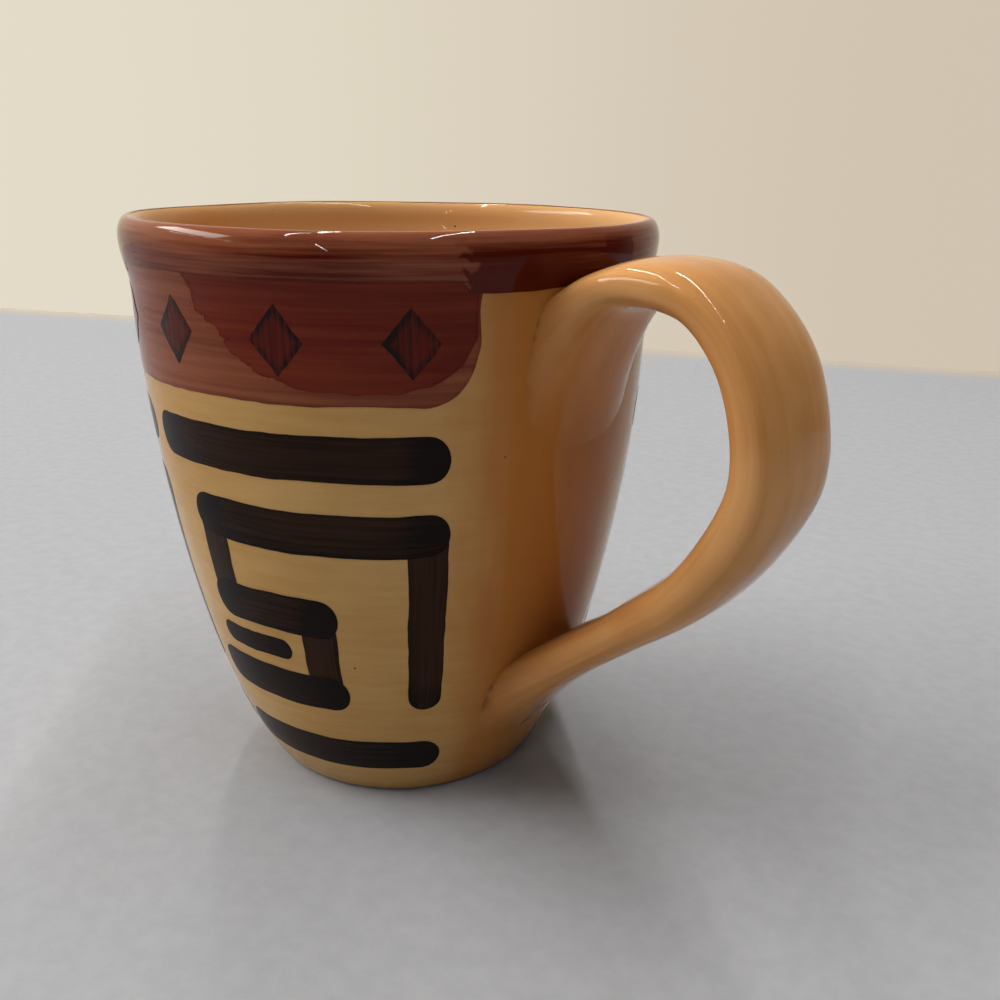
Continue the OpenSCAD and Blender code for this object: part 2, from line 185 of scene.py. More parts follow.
class GlazeColours(bpy.types.PropertyGroup):
    honey: colour("Honey", "Glaze over the pale clay", (0.60, 0.365, 0.135))
    honey_deep: colour("Deep honey", "The same glaze where it lies thick", (0.50, 0.27, 0.078))
    caramel: colour("Caramel", "Glaze inside the cup", (0.66, 0.385, 0.165))
    amber: colour("Amber", "Glaze on the strap", (0.67, 0.34, 0.125))
    amber_deep: colour("Deep amber", "The same glaze in its streaks", (0.44, 0.165, 0.034))
    clay: colour("Clay", "Bare fired clay of the foot", (0.46, 0.33, 0.22))
    iron: colour("Iron", "Iron specks in the glaze", (0.05, 0.018, 0.008))
    rim: colour("Rim", "Slip over the lip", (0.085, 0.007, 0.002))
    # Rim slip where thin at the crest, made lighter also as painted reflection of the room overhead
    rim_thin_and_sheen: colour("Thin rim", "The same slip where it lies thin", (0.27, 0.08, 0.038))
    band: colour("Band", "Red-brown slip of the band", (0.145, 0.027, 0.010))
    band_thin: colour("Thin band", "The same slip where it lies thin", (0.25, 0.072, 0.029))
    wash: colour("Wash", "Second, darker coat on the band", (0.11, 0.006, 0.001))
    wash_thin: colour("Thin wash", "The same coat where it lies thin", (0.17, 0.022, 0.005))
    brush: colour("Brush", "Near-black slip of the strokes", (0.006, 0.0018, 0.0006))
    brush_thin: colour("Thin brush", "The same slip where it lies thin", (0.036, 0.013, 0.0045))


class StageSizes(bpy.types.PropertyGroup):
    floor: colour("Floor", "Colour of the floor", (0.405, 0.414, 0.436))
    wall_left: colour("Wall left", "Colour of the wall on the left", (0.77, 0.71, 0.575))
    wall_right: colour("Wall right", "Colour of the wall on the right", (0.635, 0.55, 0.44))
    ceiling: colour("Ceiling", "Colour of the room overhead", (0.16, 0.155, 0.15))
    dim: colour("Dim side", "Colour of the room behind the camera", (0.055, 0.052, 0.05))
    tube: power("Tube", "Power of a metre of lamp tube", 5.5)
    soft: power("Soft", "Power of the soft lamp on the left", 47.0)
    lens: length("Lens", "Focal length of the camera", 35.69 * MM)


def cubic(points, t):
    a, b, c, d = points
    return (1 - t) ** 3 * a + 3 * (1 - t) ** 2 * t * b + 3 * (1 - t) * t * t * c + t ** 3 * d


def curve(points, steps):
    return [cubic(points, i / steps) for i in range(steps + 1)]


def rounding(points, t):
    a, b, c = points
    return (1 - t) ** 2 * a + 2 * t * (1 - t) * b + t * t * c


def smooth(value, low, high):
    t = min(max((value - low) / (high - low), 0.0), 1.0)
    return t * t * (3 - 2 * t)


def wander(place, rate, seed=0.0):
    """Slow noise from -1 to 1 at a place, the same on every run."""
    return noise.noise(Vector(place) * rate + Vector((seed, seed * 0.7, -seed)))


def shade(tone, kept):
    return tuple(c * kept for c in tone)


class CupForm:
    """Outline of the cup in the plane of its axis, worked out from its sizes."""

    WALL_STEPS = 90
    LIP_STEPS = 14
    ROLL_STEPS = 16
    HOLLOW_STEPS = 16
    FOOT_STEPS = 5
    # Where the flat recess has a ring of points, as a share of its reach, where its slope bends,
    # in and up, in depths of the recess, and where the wall's points start, in foot rounds
    RECESS_RING = 0.5
    SLOPE_BEND = (0.35, 0.6)
    WALL_START = 1.2
    # Share of the height over which the unevenness sets in, share of the neck's height from
    # which the lip's does, and how far the lip is lowered for it, in its own sways
    EVEN_FOOT = 0.12
    EVEN_NECK = 0.9
    LIP_LOWERED = 0.4

    def __init__(self, cup):
        self.cup = cup
        over = cup.neck_radius - cup.foot_radius
        self.neck = cup.height - cup.lip_height
        self.side = cup.height - cup.lip_roll
        foot, neck = Vector((cup.foot_radius, 0)), Vector((cup.neck_radius, self.neck))
        wall = curve((foot, foot + Vector((BELLY_LOW[0] * over, BELLY_LOW[1] * self.neck)),
                      foot + Vector((BELLY_HIGH[0] * over, BELLY_HIGH[1] * self.neck)), neck),
                     self.WALL_STEPS)
        lip = Vector((cup.lip_radius, self.side))
        self.rise = Vector((0, (self.side - self.neck) / 3))
        self.outer = wall + curve((neck, neck + self.rise, lip - self.rise, lip),
                                  self.LIP_STEPS)[1:]

    def radius(self, z):
        """Radius of the outer face at a height."""
        points = self.outer
        z = min(max(z, points[0].y), points[-1].y)
        low, high = 0, len(points) - 1
        while high - low > 1:
            middle = (low + high) // 2
            low, high = (middle, high) if points[middle].y <= z else (low, middle)
        a, b = points[low], points[high]
        return a.x + (b.x - a.x) * (z - a.y) / (b.y - a.y)

    def roll(self):
        """Rounded top of the lip, from its outside over the crest to its inside."""
        cup = self.cup
        half = cup.lip_thickness / 2
        turns = [math.pi * i / self.ROLL_STEPS for i in range(1, self.ROLL_STEPS + 1)]
        return [Vector((cup.lip_radius - half + half * math.cos(a),
                        self.side + cup.lip_roll * math.sin(a))) for a in turns]

    def inner_radius(self, z):
        thicker = 1 + FOOT_THICKER * (1 - z / self.neck) ** 2
        return self.radius(z) - self.cup.wall * thicker

    def inside(self):
        """Inner face, from under the lip down to the middle of the floor."""
        cup = self.cup
        lip = Vector((cup.lip_radius - cup.lip_thickness, self.side))
        neck = Vector((cup.neck_radius - cup.wall, self.neck))
        points = curve((lip, lip - self.rise, neck + self.rise, neck), self.LIP_STEPS)[1:]
        hollow = cup.floor + cup.hollow_corner
        for i in range(1, self.WALL_STEPS + 1):
            z = self.neck + (hollow - self.neck) * i / self.WALL_STEPS
            points.append(Vector((self.inner_radius(z), z)))
        corner = Vector((self.inner_radius(cup.floor), cup.floor))
        flat = Vector((corner.x - cup.hollow_corner, cup.floor))
        arc = (Vector((self.inner_radius(hollow), hollow)), corner, flat)
        shares = [i / self.HOLLOW_STEPS for i in range(1, self.HOLLOW_STEPS + 1)]
        points += [rounding(arc, t) for t in shares]
        return points + [Vector((flat.x * (1 - t), cup.floor)) for t in shares]

    def underside(self):
        """Recess, foot ring and softened outer edge, from the axis outwards."""
        cup = self.cup
        ring = cup.foot_radius - cup.foot_ring
        points = [Vector((0, cup.foot_recess)),
                  Vector((ring * self.RECESS_RING, cup.foot_recess)),
                  Vector((ring - cup.foot_recess, cup.foot_recess)),
                  Vector((ring - cup.foot_recess * self.SLOPE_BEND[0],
                          cup.foot_recess * self.SLOPE_BEND[1])),
                  Vector((ring, 0))]
        arc = (Vector((cup.foot_radius - cup.foot_round, 0)), Vector((cup.foot_radius, 0)),
               Vector((self.radius(cup.foot_round), cup.foot_round)))
        return points + [rounding(arc, i / self.FOOT_STEPS) for i in range(self.FOOT_STEPS + 1)]

    def outline(self):
        above = [p for p in self.outer if p.y > self.cup.foot_round * self.WALL_START]
        return self.underside() + above + self.roll() + self.inside()

    def settle(self, place):
        """Moves an ideal point by the small unevenness of a thrown wall."""
        cup = self.cup
        reach = math.hypot(place.x, place.y)
        if reach < cup.foot_ring:
            return place
        out = Vector((place.x / reach, place.y / reach, 0))
        low = smooth(place.z, 0, self.EVEN_FOOT * cup.height)
        sway = cup.sway * wander((out.x, out.y, place.z / cup.neck_radius), rate=1.3)
        lines = cup.finger_lines * wander((0, 0, place.z / cup.wall), rate=1.1, seed=3.0)
        lift = cup.lip_sway * wander(out, rate=1.4, seed=5.0)
        lift *= smooth(place.z, self.neck * self.EVEN_NECK, self.side)
        lift -= cup.lip_sway * self.LIP_LOWERED * smooth(place.z, self.neck, self.side)
        return place + out * (sway + lines) * low + Vector((0, 0, lift))

    def spot(self, azimuth, z, lift=0.0):
        """Point on the outer wall at an azimuth and a height, lifted off by a coat."""
        r = self.radius(z) + lift
        return self.settle(Vector((r * math.cos(azimuth), r * math.sin(azimuth), z)))


class StrapForm:
    """Skin of the strap and of the clay that is smoothed round its two roots."""

    # How far the clay stands over each root, in thicknesses of the strap
    UPPER_RISE = 0.2
    LOWER_RISE = 0.45
    # Stations from which and to which the strap strays in full
    STRAYS = (6, 36)

    def __init__(self, strap, cup_form):
        self.strap = strap
        self.form = cup_form

    def shares(self, s):
        """Reach, height, width and thickness at a station, on a curve through the rows."""
        rows = [Vector(row) for row in STRAP_ROWS]
        last = len(rows) - 1
        i = min(int(s / SPAN_STEPS), last - 1)
        t = s / SPAN_STEPS - i
        a, b, c, d = rows[max(i - 1, 0)], rows[i], rows[i + 1], rows[min(i + 2, last)]
        return (b + t / 2 * (c - a) + t * t / 2 * (2 * a - 5 * b + 4 * c - d)
                + t ** 3 / 2 * (3 * b - a - 3 * c + d))

    def middle(self, s):
        """Point of the middle line at a station, as its distance from the axis and height."""
        strap, p = self.strap, self.shares(s)
        z = strap.lower_root + p[1] * (strap.upper_root - strap.lower_root)
        wall = self.form.radius(z)
        return Vector((wall + p[0] * (strap.reach - strap.thickness / 2 - wall), z))

    def way(self, s):
        return (self.middle(min(s + 0.5, STRAP_END)) - self.middle(max(s - 0.5, 0))).normalized()

    def flattened(self, value):
        return math.copysign(abs(value) ** self.strap.squareness, value)

    def skin(self, s, turn):
        """Point on the strap at a station, turned round its middle line from its near edge."""
        strap, p, m, w = self.strap, self.shares(s), self.middle(s), self.way(s)
        side = p[2] * strap.width / 2 * self.flattened(math.cos(turn))
        out = p[3] * strap.thickness / 2 * self.flattened(math.sin(turn))
        place = Vector((m.x - out * w.y, side, m.y + out * w.x))
        away = Vector((-math.sin(turn) * w.y, math.cos(turn), math.sin(turn) * w.x))
        fade = smooth(s, 0, self.STRAYS[0]) * (1 - smooth(s, self.STRAYS[1], STRAP_END))
        return place + away * strap.sway * fade * wander(place / strap.width, rate=1.6, seed=2.0)

    def on_wall(self, y, z, sunk):
        r = self.form.radius(z) - sunk
        return Vector((math.sqrt(r * r - y * y), y, z))

    def edge(self, clay, turn, sunk):
        """Edge of the clay spread over the wall round a root."""
        strap = self.strap
        upper = clay is UPPER_CLAY
        wide = strap.upper_spread if upper else strap.lower_spread
        drop = strap.upper_drop if upper else strap.lower_drop
        rise = (self.UPPER_RISE if upper else self.LOWER_RISE) * strap.thickness
        own = self.skin(clay[1], turn)
        down = (1 - (1 if upper else -1) * self.flattened(math.sin(turn))) / 2
        return self.on_wall(own.y * (1 + (wide / strap.width - 1) * down),
                            own.z + rise * (1 - down) - drop * down * down, sunk)

    def swell(self, clay, bend, turn):
        """Point on the smoothed clay, from the strap at bend 0 to the wall at a quarter turn."""
        start, end = clay
        own = self.skin(start + (end - start) * math.sin(bend), turn)
        edge = self.edge(clay, turn, CLAY_SUNK * self.form.cup.wall)
        return own + (1 - math.cos(bend)) * (edge - self.skin(end, turn))


def weld(bm, distance=0.004 * MM):
    bmesh.ops.remove_doubles(bm, verts=bm.verts, dist=distance)


def show(bm, name, finishes, nodes, sharp=None):
    """Turns a bmesh into a shown piece that rides on the cup and stands for its nodes."""
    mesh = bpy.data.meshes.new(name)
    bm.to_mesh(mesh)
    bm.free()
    mesh.shade_smooth()
    if sharp:
        mesh.set_sharp_from_angle(angle=sharp)
    for finish in finishes:
        mesh.materials.append(finish)
    piece = bpy.data.objects.new(name, mesh)
    bpy.context.scene.collection.objects.link(piece)
    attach(piece, "root")
    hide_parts(*nodes)


class Sheet:
    """Thin sheets on the clay, gathered in one bmesh with the flow of the brush as UV."""

    # How far faces must look up, beside outwards, to count as looking out
    LOOKS_UP = 20 * MM

    def __init__(self):
        self.bm = bmesh.new()
        self.flow = self.bm.loops.layers.uv.new("flow")
        self.pool = self.bm.verts.layers.float.new("pool")
        self.spread = self.bm.verts.layers.float.new("spread")

    def lay(self, columns, rows, place):
        """Adds a grid and puts each of its points where place(u, v) says, with u and v from 0 to 1.

        place gives the point, how far along and across the brush it lies, and how deep slip
        pools, and for the strap also how far the clay is spread onto the wall.
        """
        made = bmesh.ops.create_grid(self.bm, x_segments=columns, y_segments=rows, size=0.5)
        flow = {}
        for vert in made["verts"]:
            vert.co, along, across, pool, *spread = place(vert.co.x + 0.5, vert.co.y + 0.5)
            vert[self.pool] = pool
            vert[self.spread] = sum(spread)
            flow[vert] = (along, across)
        for face in {face for vert in made["verts"] for face in vert.link_faces}:
            for loop in face.loops:
                loop[self.flow].uv = flow[loop.vert]

    def lift_off(self, finish, slot, node, thickness):
        """Shows the sheets as one piece, after closing seams and giving them their body."""
        weld(self.bm)
        bmesh.ops.recalc_face_normals(self.bm, faces=self.bm.faces)
        for face in self.bm.faces:
            middle = face.calc_center_median()
            if face.normal.dot(Vector((middle.x, middle.y, self.LOOKS_UP))) < 0:
                face.normal_flip()
        bmesh.ops.solidify(self.bm, geom=self.bm.faces[:], thickness=thickness)
        show(self.bm, f"{node}_slip", [finish], [node], CRISP)


class Graph:
    """Node graph, built a node at a time."""

    def __init__(self, tree):
        self.tree = tree

    def set(self, socket, value):
        if isinstance(value, bpy.types.NodeSocket):
            self.tree.links.new(value, socket)
        elif socket.type == "RGBA" and len(value) == 3:
            socket.default_value = (*value, 1)
        else:
            socket.default_value = value

    def node(self, kind, inputs=(), **settings):
        made = self.tree.nodes.new(kind)
        for name, value in settings.items():
            setattr(made, name, value)
        for key, value in dict(inputs).items():
            self.set(made.inputs[key], value)
        return made

    def range(self, value, low, high, to_low=0.0, to_high=1.0):
        return self.node("ShaderNodeMapRange", {"Value": value, "From Min": low, "From Max": high,
                                                "To Min": to_low, "To Max": to_high},
                         interpolation_type="SMOOTHSTEP").outputs[0]

    def math(self, operation, a, b, clamp=False):
        return self.node("ShaderNodeMath", {0: a, 1: b}, operation=operation,
                         use_clamp=clamp).outputs[0]

    def mix(self, factor, a, b):
        return self.node("ShaderNodeMix", {0: factor, 6: a, 7: b}, data_type="RGBA").outputs[2]

    def facing(self, vector, axis):
        """How far a vector goes along an axis."""
        return self.node("ShaderNodeVectorMath", {0: vector, 1: axis},
                         operation="DOT_PRODUCT").outputs["Value"]


class Recipe(Graph):
    """Node graph of one finish."""

    # Clear glaze: the surface under it, the glaze itself, and how deep its unevenness is
    UNDER_GLAZE = {"Roughness": 0.42, "Specular IOR Level": 0.0}
    CLEAR_GLAZE = {"Coat Roughness": 0.025, "Coat IOR": 1.25}
    GLAZE_DEPTH = 0.1 * MM
    # Share of a speck's size inside which it is full
    SPECK_CORE = 0.45

    def __init__(self, name):
        self.material = bpy.data.materials.new(name)
        self.material.use_nodes = True
        super().__init__(self.material.node_tree)
        self.shader = self.tree.nodes["Principled BSDF"]

    def finish(self, base, bump, strength, depth, **values):
        """Sets the base colour, a slightly uneven surface and the shader's own values."""
        self.set(self.shader.inputs["Base Color"], base)
        for name, value in values.items():
            self.shader.inputs[name].default_value = value
        made = self.node("ShaderNodeBump", {"Height": bump, "Strength": strength,
                                            "Distance": depth})
        self.set(self.shader.inputs["Normal"], made.outputs[0])
        return made.outputs[0]

    def glaze(self, base, bump, strength, coat=1.0):
        """Clear glossy glaze over the base colour."""
        values = {**self.UNDER_GLAZE, **self.CLEAR_GLAZE, "Coat Weight": coat}
        uneven = self.finish(base, bump, strength, self.GLAZE_DEPTH, **values)
        self.set(self.shader.inputs["Coat Normal"], uneven)
        return self.material

    def place(self, scale=(1, 1, 1), uv=None):
        if uv:
            start = self.node("ShaderNodeUVMap", uv_map=uv).outputs[0]
        else:
            start = self.node("ShaderNodeTexCoord").outputs["Object"]
        return self.node("ShaderNodeMapping", {"Vector": start, "Scale": scale}).outputs[0]

    def noise(self, vector, scale, detail=3.0, rough=0.5):
        return self.node("ShaderNodeTexNoise", {"Vector": vector, "Scale": scale, "Detail": detail,
                                                "Roughness": rough}).outputs["Fac"]

    def attribute(self, name):
        return self.node("ShaderNodeAttribute", attribute_name=name).outputs["Fac"]

    def specks(self, scale, size, kept, vector=None):
        """Small round spots in some cells of a cell pattern."""
        cells = self.node("ShaderNodeTexVoronoi", {"Vector": vector or self.place(),
                                                   "Scale": scale, "Randomness": 1.0})
        near = self.range(cells.outputs["Distance"], size, size * self.SPECK_CORE)
        pick = self.node("ShaderNodeSeparateColor", {"Color": cells.outputs["Color"]}).outputs[0]
        return self.math("MULTIPLY", near, self.math("LESS_THAN", pick, kept))


def wall_colour(r, thin, deep, amber):
    """Honey colour with faint level rings and soft clouds.

    Round the handle it takes on the amber of the strap as painted reflection and shade of the
    handle, as far as amber says, and further on the near side than on the far one.
    """
    clouds = r.noise(r.place(), scale=26, detail=2.0)
    rings = r.noise(r.place((0.12, 0.12, 1.0)), scale=520, detail=4.0, rough=0.6)
    depth = r.math("ADD", r.range(clouds, 0.35, 0.7, 0, 0.55), r.range(rings, 0.3, 0.75, 0, 0.45))
    base = r.mix(depth, thin, deep)
    # Mask of the handle's painted reflection and shade on the wall, by turn from the handle
    at = r.node("ShaderNodeSeparateXYZ", {"Vector": r.place()})
    turn = r.math("ADD", r.math("ARCTAN2", at.outputs[1], at.outputs[0]), HANDLE_REFLECTION_SHIFT)
    turn = r.math("ABSOLUTE", turn, 0)
    fringe = r.range(r.noise(r.place((1, 1, 0.3)), scale=90), 0.3, 0.7, -0.06, 0.06)
    return r.mix(r.range(r.math("ADD", turn, fringe), *HANDLE_REFLECTION_TURNS, 0, amber), base,
                 bpy.context.scene.mug_colours.amber_deep)


def honey_glaze(name, thin, deep, amber):
    """Honey glaze with a few iron specks."""
    colours = bpy.context.scene.mug_colours
    r = Recipe(name)
    # amber sets how strongly the handle's painted reflection and shade is laid round it
    base = wall_colour(r, thin, deep, amber)
    base = r.mix(r.specks(scale=300, size=0.085, kept=0.16), base, colours.iron)
    pale = r.math("MULTIPLY", r.specks(scale=520, size=0.11, kept=0.22), 0.55)
    base = r.mix(pale, base, colours.amber_deep)
    return r.glaze(base, r.noise(r.place(), scale=700, detail=2.0), strength=0.02)


def bare_clay():
    """Fired clay without glaze, grainy and matt."""
    colours = bpy.context.scene.mug_colours
    r = Recipe("bare_clay")
    grain = r.noise(r.place(), scale=2400, detail=5.0, rough=0.7)
    base = r.mix(r.range(grain, 0.35, 0.7), colours.clay, shade(colours.clay, 0.72))
    base = r.mix(r.specks(scale=700, size=0.14, kept=0.3), base, colours.iron)
    r.finish(base, grain, strength=0.5, depth=0.08 * MM, Roughness=0.85)
    return r.material


def amber_glaze():
    """Amber glaze brushed along the strap, painted shade low down, deeper in its root creases."""
    colours = bpy.context.scene.mug_colours
    r = Recipe("amber_glaze")
    streaks = r.noise(r.place((26, 420, 1), uv="flow"), scale=1.0, detail=4.0, rough=0.55)
    clouds = r.noise(r.place(), scale=60, detail=2.0)
    run = r.node("ShaderNodeSeparateXYZ", {"Vector": r.place(uv="flow")}).outputs[0]
    depth = r.math("ADD", r.range(streaks, 0.32, 0.72, 0.04, 0.36),
                   r.range(clouds, 0.4, 0.7, 0, 0.3))
    # Painted shade: the glaze darkens along the strap towards its lower root
    depth = r.math("ADD", depth, r.range(run, *LOWER_STRAP_SHADE, 0, 0.34), clamp=True)
    base = r.mix(depth, colours.amber, colours.amber_deep)
    # Where the clay spreads onto the wall it takes the wall's glaze and the handle's painted
    # reflection
    base = r.mix(r.attribute("spread"), base,
                 wall_colour(r, colours.honey, colours.honey_deep, HANDLE_REFLECTION_ON_WALL))
    gaps = r.range(r.noise(r.place(), scale=330), 0.42, 0.62, 0.25, 1.0)
    base = r.mix(r.math("MULTIPLY", r.attribute("pool"), gaps), base,
                 shade(colours.amber_deep, 0.3))
    pits = r.specks(scale=1.0, size=0.13, kept=0.2, vector=r.place((42, 110, 1), uv="flow"))
    base = r.mix(pits, base, colours.iron)
    base = r.mix(r.specks(scale=210, size=0.075, kept=0.13), base, colours.iron)
    pale = r.math("MULTIPLY", r.specks(scale=430, size=0.10, kept=0.25), 0.5)
    base = r.mix(pale, base, colours.amber_deep)
    return r.glaze(base, r.noise(r.place(), scale=600, detail=2.0), strength=0.022)


def slip(name, thick, thin, cover, streaks, along=45.0, across=1500.0, coat=1.0):
    """Brushed slip under clear glaze: streaks along the brush, deeper where it pools."""
    r = Recipe(name)
    hairs = r.noise(r.place((along, across, 1), uv="flow"), scale=1.0, detail=4.0, rough=0.6)
    load = r.noise(r.place((along * 0.7, along * 2.2, 1), uv="flow"), scale=1.0, detail=1.0)
    depth = r.range(hairs, 0.25, 0.75, -streaks, streaks)
    depth = r.math("ADD", depth, r.range(load, 0.3, 0.7, -0.25, 0.25))
    depth = r.math("ADD", depth, r.math("ADD", r.attribute("pool"), cover), clamp=True)
    return r.glaze(r.mix(depth, thin, thick), hairs, 0.015, coat)


def brush_slip(name):
    colours = bpy.context.scene.mug_colours
    return slip(name, colours.brush, colours.brush_thin, cover=0.55, streaks=0.4, along=30,
                across=1300, coat=0.65)


class MUG_OT_throw_body(bpy.types.Operator):
    """Throw the cup: foot ring, belly, turned-out lip and hollow in one lathe form"""

    bl_idname = "mug.throw_body"
    bl_label = "Throw body"

    # Order of the finishes on the cup
    HONEY, CARAMEL, CLAY = range(3)
    # Bare clay: up to this share of the foot's rounding, on this many widths of the foot ring
    BARE_UP = 0.7
    BARE_IN = 1.2
    # Spiral on the floor: its reach as a share of the foot, where it fades, its pitch in walls,
    # its height, and the heights round the floor between which it is raised
    SPIRAL_REACH = 0.75
    SPIRAL_FADE = 0.7
    SPIRAL_PITCH = 1.3
    SPIRAL_HEIGHT = 0.22 * MM
    SPIRAL_BELOW = 1 * MM
    SPIRAL_ABOVE = 4 * MM

    def execute(self, context):
        scene = context.scene
        cup, colours = scene.mug_cup, scene.mug_colours
        form = CupForm(cup)
        bm = bmesh.new()
        verts = [bm.verts.new((p.x, 0, p.y)) for p in form.outline()]
        edges = [bm.edges.new(pair) for pair in zip(verts, verts[1:])]
        bmesh.ops.spin(bm, geom=verts + edges, cent=(0, 0, 0), axis=(0, 0, 1),
                       angle=2 * math.pi, steps=cup.turns, use_merge=True)
        weld(bm)
        bmesh.ops.recalc_face_normals(bm, faces=bm.faces)
        for face in bm.faces:
            face.material_index = self.finish(face.calc_center_median(), cup, form)
        self.mark_floor(bm, cup)
        for vert in bm.verts:
            vert.co = form.settle(vert.co)
        # Outside, the glaze carries the handle's painted reflection and shade; inside it has none
        finishes = [honey_glaze("honey_glaze", colours.honey, colours.honey_deep, HANDLE_REFLECTION_ON_WALL),
                    honey_glaze("caramel_glaze", colours.caramel, colours.amber, 0.0),
                    bare_clay()]
        show(bm, "cup_body", finishes, ["body"])
        return {"FINISHED"}

    def finish(self, middle, cup, form):
        """Which finish a face has, by its middle."""
        reach = math.hypot(middle.x, middle.y)
        if (middle.z < cup.foot_round * self.BARE_UP
                and reach > cup.foot_radius - cup.foot_ring * self.BARE_IN):
            return self.CLAY
        if middle.z > form.side:
            return self.CARAMEL if reach < cup.lip_radius - cup.lip_thickness / 2 else self.HONEY
        if middle.z > cup.foot_recess * 2 and reach < form.radius(middle.z) - cup.wall / 2:
            return self.CARAMEL
        return self.HONEY

    def mark_floor(self, bm, cup):
        """Raises the spiral that the fingers leave on the inside floor."""
        end = cup.foot_radius * self.SPIRAL_REACH
        pitch = cup.wall * self.SPIRAL_PITCH
        low, high = cup.floor - self.SPIRAL_BELOW, cup.floor + self.SPIRAL_ABOVE
        for vert in bm.verts:
            reach = math.hypot(vert.co.x, vert.co.y)
            if low < vert.co.z < high and reach < end:
                turn = math.atan2(vert.co.y, vert.co.x)
                fade = smooth(reach, 0, pitch) * (1 - smooth(reach, end * self.SPIRAL_FADE, end))
                wave = math.cos(2 * math.pi * reach / pitch - turn)
                vert.co.z += self.SPIRAL_HEIGHT * fade * wave


class MUG_OT_pull_handle(bpy.types.Operator):
    """Pull the strap and smooth its two roots onto the wall"""

    bl_idname = "mug.pull_handle"
    bl_label = "Pull handle"

    SIDES = 56
    SWELL_ROWS = 18
    STRAP_STEP = 0.25
    # Where glaze pools in the crease: how far onto the wall, and how far round to the underside
    POOL_ONTO = (0.7, 0.93)
    POOL_UNDER = (0.4, 0.85)
    # How far onto the wall the strap's glaze gives way to the wall's
    SPREAD_ONTO = (0.35, 0.95)

    def rows(self, form):
        """Rows of the skin from the upper root to the lower one.

        Each has its points, how far it is onto the wall, and the clay it belongs to.
        """
        bite = CLAY_BITE * form.form.cup.wall
        quarter = math.pi / 2
        bends = [quarter * i / self.SWELL_ROWS for i in range(1, self.SWELL_ROWS + 1)]
        steps = round((LOWER_CLAY[0] - UPPER_CLAY[0]) / self.STRAP_STEP)
        stations = [UPPER_CLAY[0] + i * self.STRAP_STEP for i in range(steps + 1)]

        def end(clay):
            return [(lambda turn: form.edge(clay, turn, bite), 1.0, clay)]

        def swells(clay, way):
            return [(lambda turn, b=b: form.swell(clay, b, turn), b / quarter, clay) for b in way]

        strap = [(lambda turn, s=s: form.skin(s, turn), 0.0, None) for s in stations]
        return (end(UPPER_CLAY) + swells(UPPER_CLAY, reversed(bends)) + strap
                + swells(LOWER_CLAY, bends) + end(LOWER_CLAY))

    def execute(self, context):
        scene = context.scene
        rows = self.rows(StrapForm(scene.mug_strap, CupForm(scene.mug_cup)))
        turns = [2 * math.pi * i / self.SIDES for i in range(self.SIDES)]
        rings = [[row(turn) for turn in turns] for row, _, _ in rows]
        along = [0.0]
        for a, b in zip(rings, rings[1:]):
            along.append(along[-1] + (sum(b, Vector()) - sum(a, Vector())).length / self.SIDES)
        round_way = math.pi * (scene.mug_strap.width + scene.mug_strap.thickness) / 2

        def place(u, v):
            i, j = round(u * (len(rows) - 1)), round(v * self.SIDES)
            _, onto, clay = rows[i]
            under = (1 - (1 if clay is UPPER_CLAY else -1) * math.sin(2 * math.pi * v)) / 2
            pool = smooth(onto, *self.POOL_ONTO) * (1 - smooth(under, *self.POOL_UNDER))
            return (rings[i][j % self.SIDES], along[i], v * round_way, pool,
                    smooth(onto, *self.SPREAD_ONTO))

        sheet = Sheet()
        sheet.lay(len(rows) - 1, self.SIDES, place)
        bm = sheet.bm
        weld(bm)
        ends = [edge for edge in bm.edges if edge.is_boundary]
        bmesh.ops.holes_fill(bm, edges=ends, sides=0)
        bmesh.ops.recalc_face_normals(bm, faces=bm.faces)
        show(bm, "strap_handle", [amber_glaze()],
             ["handle", "upper_root_clay", "lower_root_clay"])
        return {"FINISHED"}


